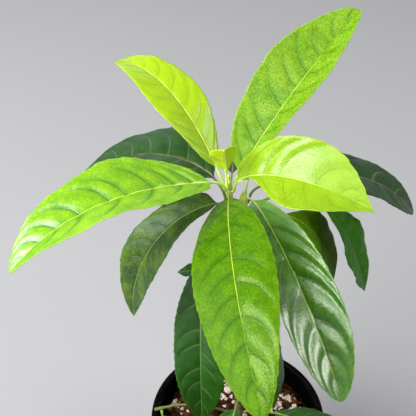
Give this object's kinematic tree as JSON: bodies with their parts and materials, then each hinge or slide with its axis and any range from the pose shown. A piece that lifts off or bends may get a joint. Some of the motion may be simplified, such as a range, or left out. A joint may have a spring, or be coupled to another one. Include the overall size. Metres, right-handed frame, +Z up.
{
  "type": "potted rudraksha tree",
  "caption": "Young potted rudraksha tree: glossy toothed leaves in a whorl on a slim stem, bright lime above and dark green below, in a round black plastic nursery pot with soil.",
  "frame": {"origin": "centre of the flat underside of the pot, on the surface the pot stands on", "axes": "+Z up along the pot's axis, -Y towards the side of the plant seen in the picture, +X to that viewer's right"},
  "size_m": [0.2011, 0.1803, 0.3505],
  "materials": {
    "pot": "black moulded plastic with a dull sheen",
    "soil": "loose dark bark and coir with white perlite",
    "stem": "green young bark, browner below",
    "leaf_light": "glossy young leaf, lime green",
    "leaf_mid": "glossy leaf, mid green",
    "leaf_dark": "glossy old leaf, dark green"
  },
  "bodies": {
    "root": {"pot": "pot", "soil": "soil", "stem": "stem", "leaf_left": "leaf_light", "leaf_right": "leaf_light", "leaf_top_left": "leaf_light", "leaf_young_top": "leaf_light", "leaf_front": "leaf_mid", "leaf_top_right": "leaf_mid", "leaf_young_side": "leaf_mid", "leaf_back_left": "leaf_dark", "leaf_low_left": "leaf_dark", "leaf_hang_left": "leaf_dark", "leaf_small_left": "leaf_dark", "leaf_hang_right": "leaf_dark", "leaf_back": "leaf_dark", "leaf_low_right": "leaf_dark", "leaf_back_right": "leaf_dark", "leaf_side_right": "leaf_dark", "leaf_under_right": "leaf_dark", "leaf_low_front": "leaf_dark", "leaf_low_front_left": "leaf_dark", "leaf_low_front_right": "leaf_dark"}
  },
  "joints": []
}
